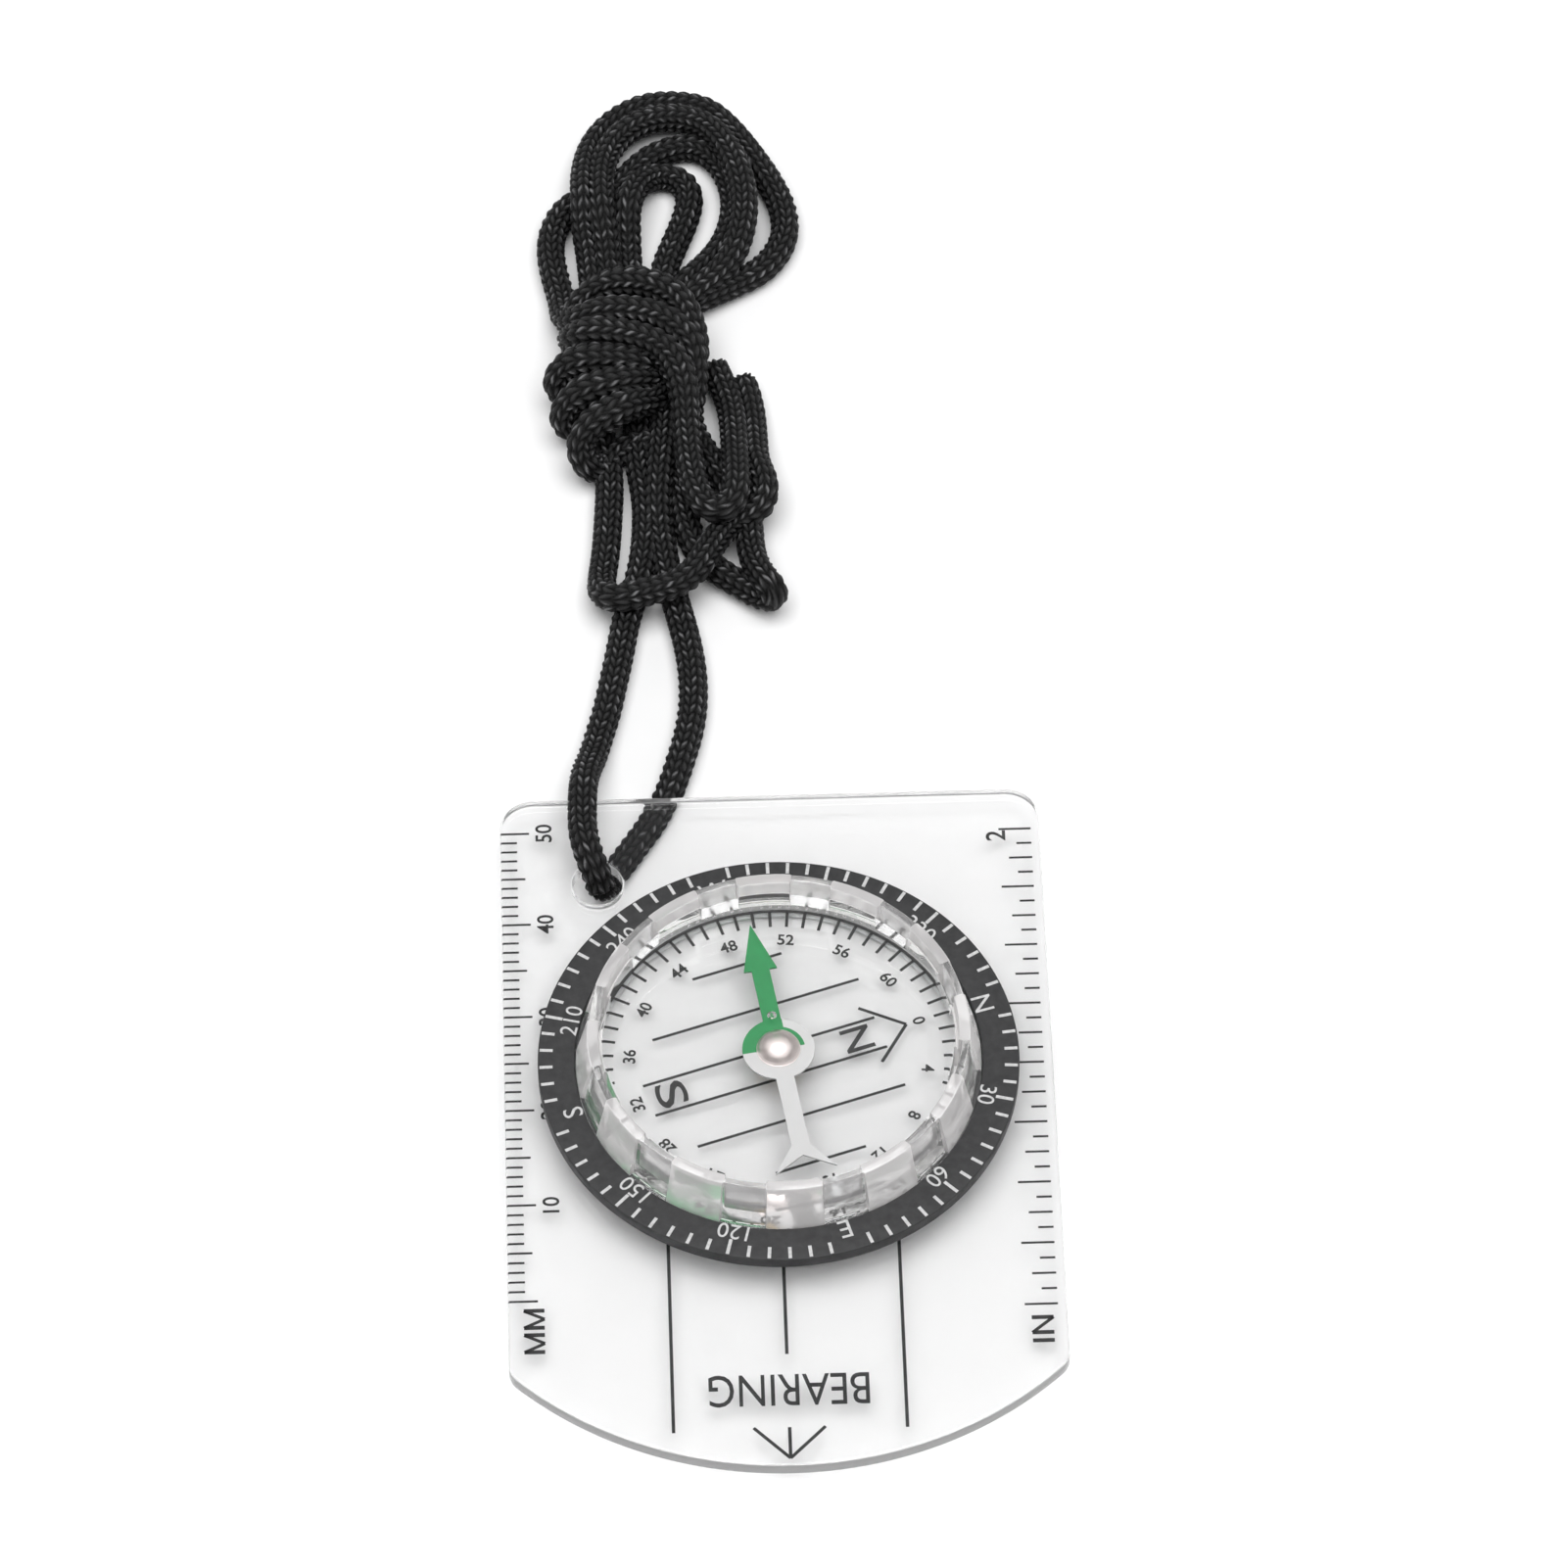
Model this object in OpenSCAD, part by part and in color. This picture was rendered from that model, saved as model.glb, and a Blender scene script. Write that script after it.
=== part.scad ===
// Baseplate compass: a clear ruler plate, a turning dial with a liquid capsule,
// a magnetic needle on a steel pivot, and a knotted neck lanyard.
// Millimetres. +Z up, +Y away from the direction-of-travel end, origin on the
// surface the capsule stands on, below the middle of the plate.

/* [Baseplate] */
// Width of the plate across its two ruled edges
plate_w = 48.5; // [44:0.5:56]
// Length of the plate to the tip of its curved end
plate_l = 71; // [68:0.5:80]
// Thickness of the clear sheet
plate_t = 1.5; // [1.2:0.1:2]
// Height of the sheet's underside over the table
plate_lift = 1.7; // [1.6:0.1:2]
// Radius of the curved end
front_r = 34.5; // [32:0.5:40]
// Radius of the two square-end corners
back_corner_r = 3; // [1.5:0.5:5]
// Radius where the sides meet the curved end
front_corner_r = 2; // [1:0.5:3]
// Radius of the lanyard hole
lanyard_hole_r = 2.25; // [2:0.05:2.5]

/* [Dial] */
// Outer radius of the black degree ring
dial_r = 21.25; // [20.5:0.25:22.5]
// Thickness of the black degree ring
dial_t = 1.25; // [1:0.05:1.6]
// Distance from the plate's middle to the turning axis
dial_y = 5.75; // [5:0.25:7]

/* [Capsule] */
// Outer radius of the skirt that turns in the plate
skirt_r = 17.3; // [17:0.05:17.4]
// Running clearance between the skirt and the plate
running_gap = 0.1; // [0.05:0.01:0.1]
// Height of the grip rim over the table
rim_z = 9; // [8.6:0.1:9.6]
// Thickness of the lens
lens_t = 1; // [0.8:0.1:1.2]
// Depth of the lens face below the rim
lens_recess = 1.2; // [0.8:0.1:1.4]
// Number of grip blocks round the rim
grip_count = 12; // [8:1:14]
// Angle that one grip block spans
grip_angle = 16.5; // [12:0.5:18]
// Angle that the dial is turned through, clockwise, north mark from +Y
dial_turn = 72; // [0:1:359]

/* [Needle] */
// Distance from the pivot to the north point
needle_north = 13.6; // [12:0.1:14]
// Distance from the pivot to the south end
needle_south = 13; // [11:0.1:13.5]
// Width of the needle's shaft
shaft_w = 1.6; // [1.2:0.1:2]
// Angle of the needle, counter-clockwise from +Y
needle_turn = 9; // [0:1:359]

/* [Lanyard] */
// Diameter of the braided cord
cord_d = 2.5; // [2.2:0.1:2.6]

/* [Hidden] */
$fn = 96;
eps = 0.01;

plate_top = plate_lift + plate_t;
hole_pos = [-15.6, 26.2];
front_centre_y = -plate_l / 2 + front_r;

washer_t = 0.15;
washer_r = [skirt_r + 0.3, skirt_r + 2.9];

dial_bottom = plate_top + 0.25;
dial_top = dial_bottom + dial_t;
dial_chamfer = 0.15;
dial_seat_t = 0.5;
dial_seat_r = skirt_r + 0.15;
dial_bore_r = skirt_r + 0.7;

flange_r = dial_bore_r - 0.1;
flange_z = dial_bottom + dial_seat_t + 0.02;
rim_outer_r = 16.55;
rim_inner_r = 15.8;
rim_foot_r = skirt_r + 0.12;
cavity_r = 16.5;
lens_top = rim_z - lens_recess;
lens_bottom = lens_top - lens_t;
ledge_r = rim_inner_r - 0.5;
ledge_t = 0.5;
floor_bottom = 0.15;
floor_top = 1.4;
seal_d = 0.5;
seal_z = 0.7;

groove_z = [0.6, 1.5];
groove_depth = 0.35;
retainer_r = skirt_r + 1.6;

plug_r = 0.6;
plug_z = 2.4;

seat_r = 1.2;
seat_h = 1;
pin_r = 0.35;
pin_foot_z = 0.7;
pin_shoulder_z = 4.6;
pin_tip_z = 5.25;
pin_tip_r = 0.05;

blade_z = 4.7;
blade_t = 0.3;
blade_disc_r = 3.2;
head_l = 5;
head_w = 3;
tail_l = 2.7;
tail_w = 5.4;
tail_notch = 1.6;
hub_r = 1.5;
hub_bore_r = 0.9;
hub_flange_r = 2.1;
hub_bottom = 4.1;
jewel_bottom = 4.85;
jewel_top = 5.45;
cap_r = 1.95;
cap_top = 6.5;

// Points of an arc about centre c, from angle a0 to a1 in degrees
function arc_points(c, r, a0, a1, n = 12) =
    [for (i = [0:n]) let (a = a0 + (a1 - a0) * i / n) c + r * [cos(a), sin(a)]];

// Centre of the round between a straight side and the curved end
front_round_x = plate_w / 2 - front_corner_r;
front_round_y = front_centre_y
    - sqrt(pow(front_r - front_corner_r, 2) - pow(front_round_x, 2));
front_round_a = atan2(front_round_y - front_centre_y, front_round_x);

plate_outline = concat(
    arc_points([0, front_centre_y], front_r, -180 - front_round_a, front_round_a, 48),
    arc_points([front_round_x, front_round_y], front_corner_r, front_round_a, 0, 6),
    arc_points([plate_w / 2 - back_corner_r, plate_l / 2 - back_corner_r],
               back_corner_r, 0, 90),
    arc_points([back_corner_r - plate_w / 2, plate_l / 2 - back_corner_r],
               back_corner_r, 90, 180),
    arc_points([-front_round_x, front_round_y], front_corner_r, 180,
               180 - front_round_a, 6));

// Arrow head to the north, straight shaft, fluke-shaped tail to the south
right_side = [[0, tail_notch - needle_south], [tail_w / 2, -needle_south],
              [shaft_w / 2, tail_l - needle_south], [shaft_w / 2, needle_north - head_l],
              [head_w / 2, needle_north - head_l]];
needle_outline = concat(right_side, [[0, needle_north]],
                        [for (i = [4:-1:1]) [-right_side[i].x, right_side[i].y]]);

// The strands' routes: x, y, height of the middle, height of the section
front_route = [
    [-15.3, 26.1, 2.5, 1.8], [-15.5, 26.5, 3.6, 2.1], [-16, 27.4, 4.5, 2.4],
    [-16.5, 29, 4.9, 2.5], [-16.8, 31.2, 4.6, 2.5], [-16.8, 33.4, 4.5, 2.5],
    [-16.7, 35.8, 4.5, 2.5], [-16.4, 38.4, 3.4, 2.5], [-15.8, 41, 2, 2.5],
    [-15.2, 43.6, 1.4, 2.5], [-14.4, 46.6, 1.3, 2.5], [-13.7, 50, 1.3, 2.5],
    [-13, 53.6, 1.3, 2.5], [-12.2, 58.4, 1.3, 2.5]];
rear_route = [
    [-15.3, 26.1, 2.5, 1.8], [-15.2, 26.5, 1.6, 1.6], [-14.6, 27.6, 0.95, 1.5],
    [-13.4, 29.4, 0.85, 1.5], [-12, 31.6, 0.85, 1.5], [-10.6, 33.8, 0.85, 1.5],
    [-9.5, 36.2, 0.9, 1.6], [-8.6, 38.4, 1.1, 2.1], [-7.8, 41, 1.3, 2.5],
    [-7, 44, 1.3, 2.5], [-6.5, 47.4, 1.3, 2.5], [-6.5, 51, 1.3, 2.5],
    [-6.9, 54.4, 1.3, 2.5], [-7.5, 58, 1.3, 2.5]];
left_tail_route = [
    [-2.2, 73.1, 1.6, 2.5], [-2.1, 75.5, 1.4, 2.5], [-2.2, 78, 1.3, 2.5],
    [-2.6, 80.5, 1.3, 2.5], [-3.1, 83, 1.3, 2.5], [-3.6, 84.8, 1.3, 2.5]];
right_tail_route = [
    [0.6, 73.1, 1.6, 2.5], [0.8, 75.5, 1.4, 2.5], [0.7, 78, 1.3, 2.5],
    [0.4, 80.5, 1.3, 2.5], [0, 83.4, 1.3, 2.5]];

module turned(z) { translate([0, dial_y, z]) rotate(-dial_turn) children(); }

module disc(r, z0, z1) { translate([0, 0, z0]) cylinder(r = r, h = z1 - z0); }

module tube(r_in, r_out, z0, z1) {
    difference() {
        disc(r_out, z0, z1);
        disc(r_in, z0 - 1, z1 + 1);
    }
}

module baseplate() {
    color("#e8eef0", 0.4)
    difference() {
        translate([0, 0, plate_lift]) linear_extrude(plate_t) polygon(plate_outline);
        translate([0, dial_y, 0]) disc(skirt_r + running_gap, -1, plate_top + 1);
        translate(concat(hole_pos, 0)) disc(lanyard_hole_r, -1, plate_top + 1);
    }
}

module friction_washer() {
    color("#d8d8d4")
    translate([0, dial_y, 0])
    tube(washer_r[0], washer_r[1], plate_top, plate_top + washer_t);
}

// Flat ring with a seat for the capsule's flange and chamfered outer edges
module dial_ring() {
    c = dial_chamfer;
    color("#404244")
    turned(0)
    rotate_extrude()
    polygon([[dial_seat_r, dial_bottom], [dial_r - c, dial_bottom],
             [dial_r, dial_bottom + c], [dial_r, dial_top - c], [dial_r - c, dial_top],
             [dial_bore_r, dial_top], [dial_bore_r, dial_bottom + dial_seat_t],
             [dial_seat_r, dial_bottom + dial_seat_t]]);
}

module retaining_ring() {
    color("#303234")
    turned(0)
    tube(skirt_r - groove_depth, retainer_r, groove_z[0], groove_z[1]);
}

module grip_block() {
    rotate(-grip_angle / 2)
    rotate_extrude(angle = grip_angle)
    polygon([[rim_foot_r - 0.7, flange_z + 0.2], [flange_r, flange_z + 0.2],
             [flange_r - 0.05, dial_top], [rim_outer_r + 0.3, rim_z],
             [rim_outer_r - 0.4, rim_z]]);
}

// Clear ring: skirt in the plate, flange over the dial ring, rim with grip blocks
module capsule_housing() {
    color("#dfe8ea", 0.5)
    turned(0)
    difference() {
        union() {
            rotate_extrude()
            polygon([[cavity_r, 0], [skirt_r, 0], [skirt_r, groove_z[0]],
                     [skirt_r - groove_depth, groove_z[0]],
                     [skirt_r - groove_depth, groove_z[1]], [skirt_r, groove_z[1]],
                     [skirt_r, flange_z], [flange_r, flange_z],
                     [flange_r, flange_z + 0.4], [rim_foot_r, dial_top],
                     [rim_outer_r, rim_z], [rim_inner_r, rim_z],
                     [rim_inner_r, lens_bottom], [ledge_r, lens_bottom],
                     [ledge_r, lens_bottom - ledge_t],
                     [rim_inner_r, lens_bottom - ledge_t - 0.2], [cavity_r, 3]]);
            for (i = [0:grip_count - 1])
                rotate(90 + (i + 0.5) * 360 / grip_count) grip_block();
        }
        translate([0, 0, plug_z]) rotate([0, 90, 0]) disc(plug_r, cavity_r - 1, skirt_r + 1);
    }
}

module capsule_lens() {
    color("#eef4f6", 0.5)
    turned(0)
    disc(rim_inner_r, lens_bottom, lens_top);
}

module capsule_floor() {
    color("#f4f6f6", 0.7)
    turned(0)
    difference() {
        disc(cavity_r, floor_bottom, floor_top);
        translate([0, 0, seal_z - seal_d / 2])
        tube(cavity_r - seal_d, cavity_r + 1, 0, seal_d);
        disc(pin_r, pin_foot_z, floor_top + 1);
    }
}

module floor_seal() {
    color("#5a5f60")
    turned(seal_z)
    rotate_extrude() translate([cavity_r - seal_d / 2, 0]) circle(d = seal_d - eps, $fn = 24);
}

module fill_plug() {
    color("#c8d0d2")
    turned(plug_z)
    rotate([0, 90, 0]) disc(plug_r, cavity_r, skirt_r - 0.1);
}

module pivot_seat() {
    color("#f0f0ee")
    turned(0)
    tube(pin_r, seat_r, floor_top, floor_top + seat_h);
}

module pivot_pin() {
    color("#c9c9cc")
    turned(0) {
        disc(pin_r, pin_foot_z, pin_shoulder_z);
        translate([0, 0, pin_shoulder_z])
        cylinder(r1 = pin_r, r2 = pin_tip_r, h = pin_tip_z - pin_shoulder_z);
    }
}

module on_needle() { translate([0, dial_y, 0]) rotate(needle_turn) children(); }

// Flat strip: arrow head to the north, round middle, fluke-shaped tail to the south
module needle_blade() {
    color("#2fa866")
    on_needle()
    translate([0, 0, blade_z])
    difference() {
        union() {
            cylinder(r = blade_disc_r, h = blade_t);
            linear_extrude(blade_t) polygon(needle_outline);
        }
        disc(hub_r + eps, -1, 1);
    }
}

module needle_hub() {
    color("#b9a27a")
    on_needle()
    difference() {
        union() {
            disc(hub_r, hub_bottom, blade_z + blade_t);
            disc(hub_flange_r, blade_z - 0.25, blade_z);
        }
        disc(hub_bore_r, hub_bottom - 1, blade_z + blade_t + 1);
    }
}

module jewel_bearing() {
    color("#d8e4f0", 0.8)
    on_needle()
    difference() {
        disc(hub_bore_r - eps, jewel_bottom, jewel_top);
        translate([0, 0, jewel_bottom - eps])
        cylinder(r1 = 0.5, r2 = 0.08, h = pin_tip_z + 0.05 - jewel_bottom + eps);
    }
}

// Polished dome pressed over the jewel
module hub_cap() {
    cap_bottom = blade_z + blade_t + eps;
    color("#d9cfcb")
    on_needle()
    rotate_extrude()
    polygon(concat([[0, jewel_top + eps], [hub_bore_r, jewel_top + eps],
                    [hub_bore_r, cap_bottom], [cap_r, cap_bottom]],
                   [for (a = [0:10:90])
                    [cap_r * cos(a), cap_bottom + 0.3 + (cap_top - cap_bottom - 0.3) * sin(a)]]));
}

// A cord swept along route points: eight-sided rings, each upright and square to the way
function way(route, i) =
    let (a = route[max(i - 1, 0)], b = route[min(i + 1, len(route) - 1)], d = b - a)
    [d.x, d.y, d.z] / norm([d.x, d.y, d.z]);
function ring_points(route, i) =
    let (p = route[i], t = way(route, i),
         side = [t.y, -t.x, 0] / norm([t.x, t.y]),
         up = cross(side, t))
    [for (k = [0:7])
     [p.x, p.y, p.z] + cord_d / 2 * cos(22.5 + 45 * k) * side
                     + p[3] / 2 * sin(22.5 + 45 * k) / sin(67.5) * up];
module cord(route) {
    n = len(route);
    color("#1c1d1f")
    polyhedron(
        points = [for (i = [0:n - 1]) each ring_points(route, i)],
        faces = concat(
            [[for (k = [7:-1:0]) k]], [[for (k = [0:7]) 8 * (n - 1) + k]],
            [for (i = [0:n - 2], k = [0:7])
             [8 * i + k, 8 * i + (k + 1) % 8, 8 * i + 8 + (k + 1) % 8, 8 * i + 8 + k]]));
}

module lanyard_front_strand() { cord(front_route); }
module lanyard_rear_strand() { cord(rear_route); }
module lanyard_left_tail() { cord(left_tail_route); }
module lanyard_right_tail() { cord(right_tail_route); }

// A flat block with round ends between two points
module stadium(a, b, r, h) {
    turn = atan2(b.y - a.y, b.x - a.x);
    linear_extrude(h)
    polygon(concat(arc_points(b, r, turn - 90, turn + 90), arc_points(a, r, turn + 90, turn + 270)));
}

module joint_knot_shape(h) { stadium([-1.6, 69.6], [0.4, 69.6], 3.6, h); }

// Outer shape of the folded and knotted bundle: loops, overhand knot, lower folds
module lanyard_hank() {
    color("#1c1d1f")
    difference() {
        union() {
            stadium([-8, 108], [-7, 105], 11, 5.5);
            stadium([-12.2, 90], [-12, 78], 7, 8);
            stadium([-8, 64.5], [-7, 64.5], 7.8, 5.5);
        }
        translate([0, 0, -1]) joint_knot_shape(10);
    }
}

module lanyard_joint_knot() {
    color("#1c1d1f")
    joint_knot_shape(5.6);
}

baseplate();
friction_washer();
dial_ring();
retaining_ring();
capsule_housing();
capsule_lens();
capsule_floor();
floor_seal();
fill_plug();
pivot_seat();
pivot_pin();
needle_blade();
needle_hub();
jewel_bearing();
hub_cap();
lanyard_front_strand();
lanyard_rear_strand();
lanyard_hank();
lanyard_joint_knot();
lanyard_left_tail();
lanyard_right_tail();
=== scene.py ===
import math

import bmesh
import bpy
import numpy as np
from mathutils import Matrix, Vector


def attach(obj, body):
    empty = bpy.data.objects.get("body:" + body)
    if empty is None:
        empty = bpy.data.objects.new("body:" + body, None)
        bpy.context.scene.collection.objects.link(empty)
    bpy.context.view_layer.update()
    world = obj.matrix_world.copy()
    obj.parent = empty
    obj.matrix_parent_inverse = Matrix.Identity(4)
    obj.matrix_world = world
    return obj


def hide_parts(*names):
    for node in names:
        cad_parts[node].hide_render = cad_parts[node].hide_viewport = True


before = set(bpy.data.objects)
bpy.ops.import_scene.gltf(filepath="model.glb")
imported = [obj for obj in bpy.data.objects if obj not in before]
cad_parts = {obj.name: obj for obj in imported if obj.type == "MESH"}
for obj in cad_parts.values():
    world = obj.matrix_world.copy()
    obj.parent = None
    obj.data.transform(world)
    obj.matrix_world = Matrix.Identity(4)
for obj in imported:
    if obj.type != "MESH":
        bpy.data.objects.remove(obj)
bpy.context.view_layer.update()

# Everything below is laid out in millimetres in the CAD frame; MM turns it into metres.
MM = 0.001
AXIS_X, AXIS_Y = 0.0, 5.75          # the turning axis of the dial and of the needle
DIAL_TURN = -72.0                   # where the dial's north stands, counter-clockwise from +Y
NEEDLE_TURN = 9.0                   # where the needle's north stands, counter-clockwise from +Y


# ---------------------------------------------------------------- mesh helpers

def make_object(name, verts, faces, material, sharp_above=12.0, smooth=True):
    """A closed or thin mesh from millimetre points, with its normals pointing outwards."""
    mesh = bpy.data.meshes.new(name)
    mesh.from_pydata([(x * MM, y * MM, z * MM) for x, y, z in verts], [], faces)
    shape = bmesh.new()
    shape.from_mesh(mesh)
    bmesh.ops.recalc_face_normals(shape, faces=shape.faces)
    shape.to_mesh(mesh)
    shape.free()
    if smooth:
        mesh.shade_smooth()
        mesh.set_sharp_from_angle(angle=math.radians(sharp_above))
    mesh.materials.append(material)
    piece = bpy.data.objects.new(name, mesh)
    bpy.context.scene.collection.objects.link(piece)
    return piece


def coat_faces(piece, material, chosen):
    """Gives another material to the faces whose middle, in millimetres, passes the test."""
    piece.data.materials.append(material)
    slot = len(piece.data.materials) - 1
    for face in piece.data.polygons:
        if chosen(*(face.center / MM)):
            face.material_index = slot


def rounded(corners, radius, steps=4, closed=True):
    """The outline with its corners rounded by small arcs; an open one keeps its two ends."""
    out = []
    count = len(corners)
    for i, here in enumerate(corners):
        if not closed and i in (0, count - 1):
            out.append(here)
            continue
        before = Vector(corners[i - 1]) - Vector(here)
        after = Vector(corners[(i + 1) % count]) - Vector(here)
        reach = min(radius, 0.45 * before.length, 0.45 * after.length)
        start = Vector(here) + before.normalized() * reach
        end = Vector(here) + after.normalized() * reach
        for k in range(steps + 1):
            t = k / steps
            bend = start * (1 - t) ** 2 + Vector(here) * 2 * t * (1 - t) + end * t ** 2
            out.append((bend.x, bend.y))
    return out


def revolve(name, outline, angles, material):
    """Sweeps a closed (radius, z) outline round the axis."""
    verts, faces = [], []
    size = len(outline)
    for angle in angles:
        c, s = math.cos(math.radians(angle)), math.sin(math.radians(angle))
        verts += [(AXIS_X + r * c, AXIS_Y + r * s, z) for r, z in outline]
    for i in range(len(angles)):
        j = (i + 1) % len(angles)
        for k in range(size):
            m = (k + 1) % size
            faces.append((i * size + k, j * size + k, j * size + m, i * size + m))
    return make_object(name, verts, faces, material)


def turned_solid(name, profile_at, angles, material, centre=(AXIS_X, AXIS_Y), **shading):
    """Revolves a (radius, z) profile that starts and ends on the axis and may change with the angle."""
    rings = [profile_at(a) for a in angles]
    verts = [(centre[0], centre[1], rings[0][0][1])]
    size = len(rings[0]) - 2
    for angle, ring in zip(angles, rings):
        c, s = math.cos(math.radians(angle)), math.sin(math.radians(angle))
        verts += [(centre[0] + r * c, centre[1] + r * s, z) for r, z in ring[1:-1]]
    verts.append((centre[0], centre[1], rings[0][-1][1]))
    last, faces = len(verts) - 1, []
    for i in range(len(angles)):
        a, b = 1 + i * size, 1 + ((i + 1) % len(angles)) * size
        faces.append((0, a, b))
        faces += [(a + k, a + k + 1, b + k + 1, b + k) for k in range(size - 1)]
        faces.append((a + size - 1, last, b + size - 1))
    return make_object(name, verts, faces, material, **shading)


def all_round(steps):
    """Angles of a full turn, in degrees."""
    return [360 * k / steps for k in range(steps)]


def arc(cx, cy, radius, start, end, steps):
    """Points along a circular arc, angles in degrees."""
    return [(cx + radius * math.cos(math.radians(start + (end - start) * k / steps)),
             cy + radius * math.sin(math.radians(start + (end - start) * k / steps)))
            for k in range(steps + 1)]


def inset(loop, distance):
    """The counter-clockwise loop moved to its left, into the material, by a small distance."""
    out = []
    for i, (x, y) in enumerate(loop):
        x0, y0 = loop[i - 1]
        x1, y1 = loop[(i + 1) % len(loop)]
        dx, dy = x1 - x0, y1 - y0
        size = math.hypot(dx, dy)
        out.append((x - dy / size * distance, y + dx / size * distance))
    return out


def slab(name, loops, low, high, edge, material, steps=4):
    """A flat plate with holes and rounded edges: outer loop counter-clockwise, holes clockwise."""
    layers = []
    for k in range(steps + 1):
        a = math.pi / 2 * k / steps
        layers.append((edge * (1 - math.sin(a)), low + edge * (1 - math.cos(a))))
    layers += [(offset, low + high - z) for offset, z in reversed(layers)]
    shape = bmesh.new()
    caps = {0: [], len(layers) - 1: []}
    for loop in loops:
        rings = [[shape.verts.new((x * MM, y * MM, z * MM)) for x, y in inset(loop, offset)]
                 for offset, z in layers]
        for k in range(len(layers) - 1):
            for i in range(len(loop)):
                j = (i + 1) % len(loop)
                face = shape.faces.new((rings[k][i], rings[k][j], rings[k + 1][j], rings[k + 1][i]))
                face.smooth = True
        for k in caps:
            for i in range(len(loop)):
                rim = shape.edges.get((rings[k][i], rings[k][(i + 1) % len(loop)]))
                rim.smooth = False
                caps[k].append(rim)
    for edges in caps.values():
        bmesh.ops.triangle_fill(shape, edges=edges, use_beauty=True)
    bmesh.ops.recalc_face_normals(shape, faces=shape.faces)
    mesh = bpy.data.meshes.new(name)
    shape.to_mesh(mesh)
    shape.free()
    mesh.materials.append(material)
    piece = bpy.data.objects.new(name, mesh)
    bpy.context.scene.collection.objects.link(piece)
    return piece


# ---------------------------------------------------------------- material helpers

def principled(name, **sockets):
    """A node material with the given values on the shader's own sockets."""
    material = bpy.data.materials.new(name)
    material.use_nodes = True
    shader = material.node_tree.nodes["Principled BSDF"]
    for socket, value in sockets.items():
        shader.inputs[socket.replace("_", " ")].default_value = value
    return material


NOISE_LOW, NOISE_HIGH = 0.3, 0.7    # most of a noise texture lies between these


def noise(material, scale, detail):
    """Procedural noise over the object's own coordinates, in metres."""
    tree = material.node_tree
    place = tree.nodes.new("ShaderNodeTexCoord")
    made = tree.nodes.new("ShaderNodeTexNoise")
    made.inputs["Scale"].default_value = scale
    made.inputs["Detail"].default_value = detail
    tree.links.new(place.outputs["Object"], made.inputs["Vector"])
    return made.outputs["Fac"]


def spread(material, source, socket, low, high):
    """Maps a noise onto one of the shader's sockets, from low to high; both may be colours."""
    tree = material.node_tree
    shader = tree.nodes["Principled BSDF"]
    if isinstance(low, tuple):
        ramp = tree.nodes.new("ShaderNodeValToRGB")
        ramp.color_ramp.elements[0].position = NOISE_LOW
        ramp.color_ramp.elements[0].color = (*low, 1)
        ramp.color_ramp.elements[1].position = NOISE_HIGH
        ramp.color_ramp.elements[1].color = (*high, 1)
        tree.links.new(source, ramp.inputs["Fac"])
        tree.links.new(ramp.outputs["Color"], shader.inputs[socket])
        return
    scaled = tree.nodes.new("ShaderNodeMapRange")
    scaled.inputs["From Min"].default_value = NOISE_LOW
    scaled.inputs["From Max"].default_value = NOISE_HIGH
    scaled.inputs["To Min"].default_value = low
    scaled.inputs["To Max"].default_value = high
    tree.links.new(source, scaled.inputs["Value"])
    tree.links.new(scaled.outputs["Result"], shader.inputs[socket])


def bump(material, source, height, strength):
    """Raises the surface by a noise; height is in metres."""
    tree = material.node_tree
    node = tree.nodes.new("ShaderNodeBump")
    node.inputs["Distance"].default_value = height
    node.inputs["Strength"].default_value = strength
    tree.links.new(source, node.inputs["Height"])
    tree.links.new(node.outputs["Normal"], tree.nodes["Principled BSDF"].inputs["Normal"])


def let_light_through(material, tint):
    """Shadow rays pass clear plastic, so that what lies under it is lit as in a bright studio."""
    tree = material.node_tree
    shader = tree.nodes["Principled BSDF"]
    path = tree.nodes.new("ShaderNodeLightPath")
    clear = tree.nodes.new("ShaderNodeBsdfTransparent")
    clear.inputs["Color"].default_value = (*tint, 1)
    mix = tree.nodes.new("ShaderNodeMixShader")
    tree.links.new(path.outputs["Is Shadow Ray"], mix.inputs["Fac"])
    tree.links.new(shader.outputs["BSDF"], mix.inputs[1])
    tree.links.new(clear.outputs["BSDF"], mix.inputs[2])
    tree.links.new(mix.outputs["Shader"], tree.nodes["Material Output"].inputs["Surface"])


# ---------------------------------------------------------------- materials

def clear_plastic(name, base, ior, ripple, tint):
    """Polished clear plastic with the faint ripple of a moulded or cast face."""
    material = principled(name, Base_Color=(*base, 1), IOR=ior, Transmission_Weight=1.0)
    bump(material, noise(material, 180, 2), ripple, 1.0)
    spread(material, noise(material, 900, 3), "Roughness", 0.0, 0.03)
    let_light_through(material, tint)
    return material


def hazy_plastic(name, base, clearness, rough, tint):
    """Clear plastic with a moulded or cut surface: light comes through, the view is blurred."""
    material = principled(name, Base_Color=(*base, 1), IOR=1.49, Transmission_Weight=clearness)
    bump(material, noise(material, 700, 3), 0.00004, 0.7)
    spread(material, noise(material, 1300, 3), "Roughness", rough, rough + 0.15)
    let_light_through(material, tint)
    return material


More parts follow.
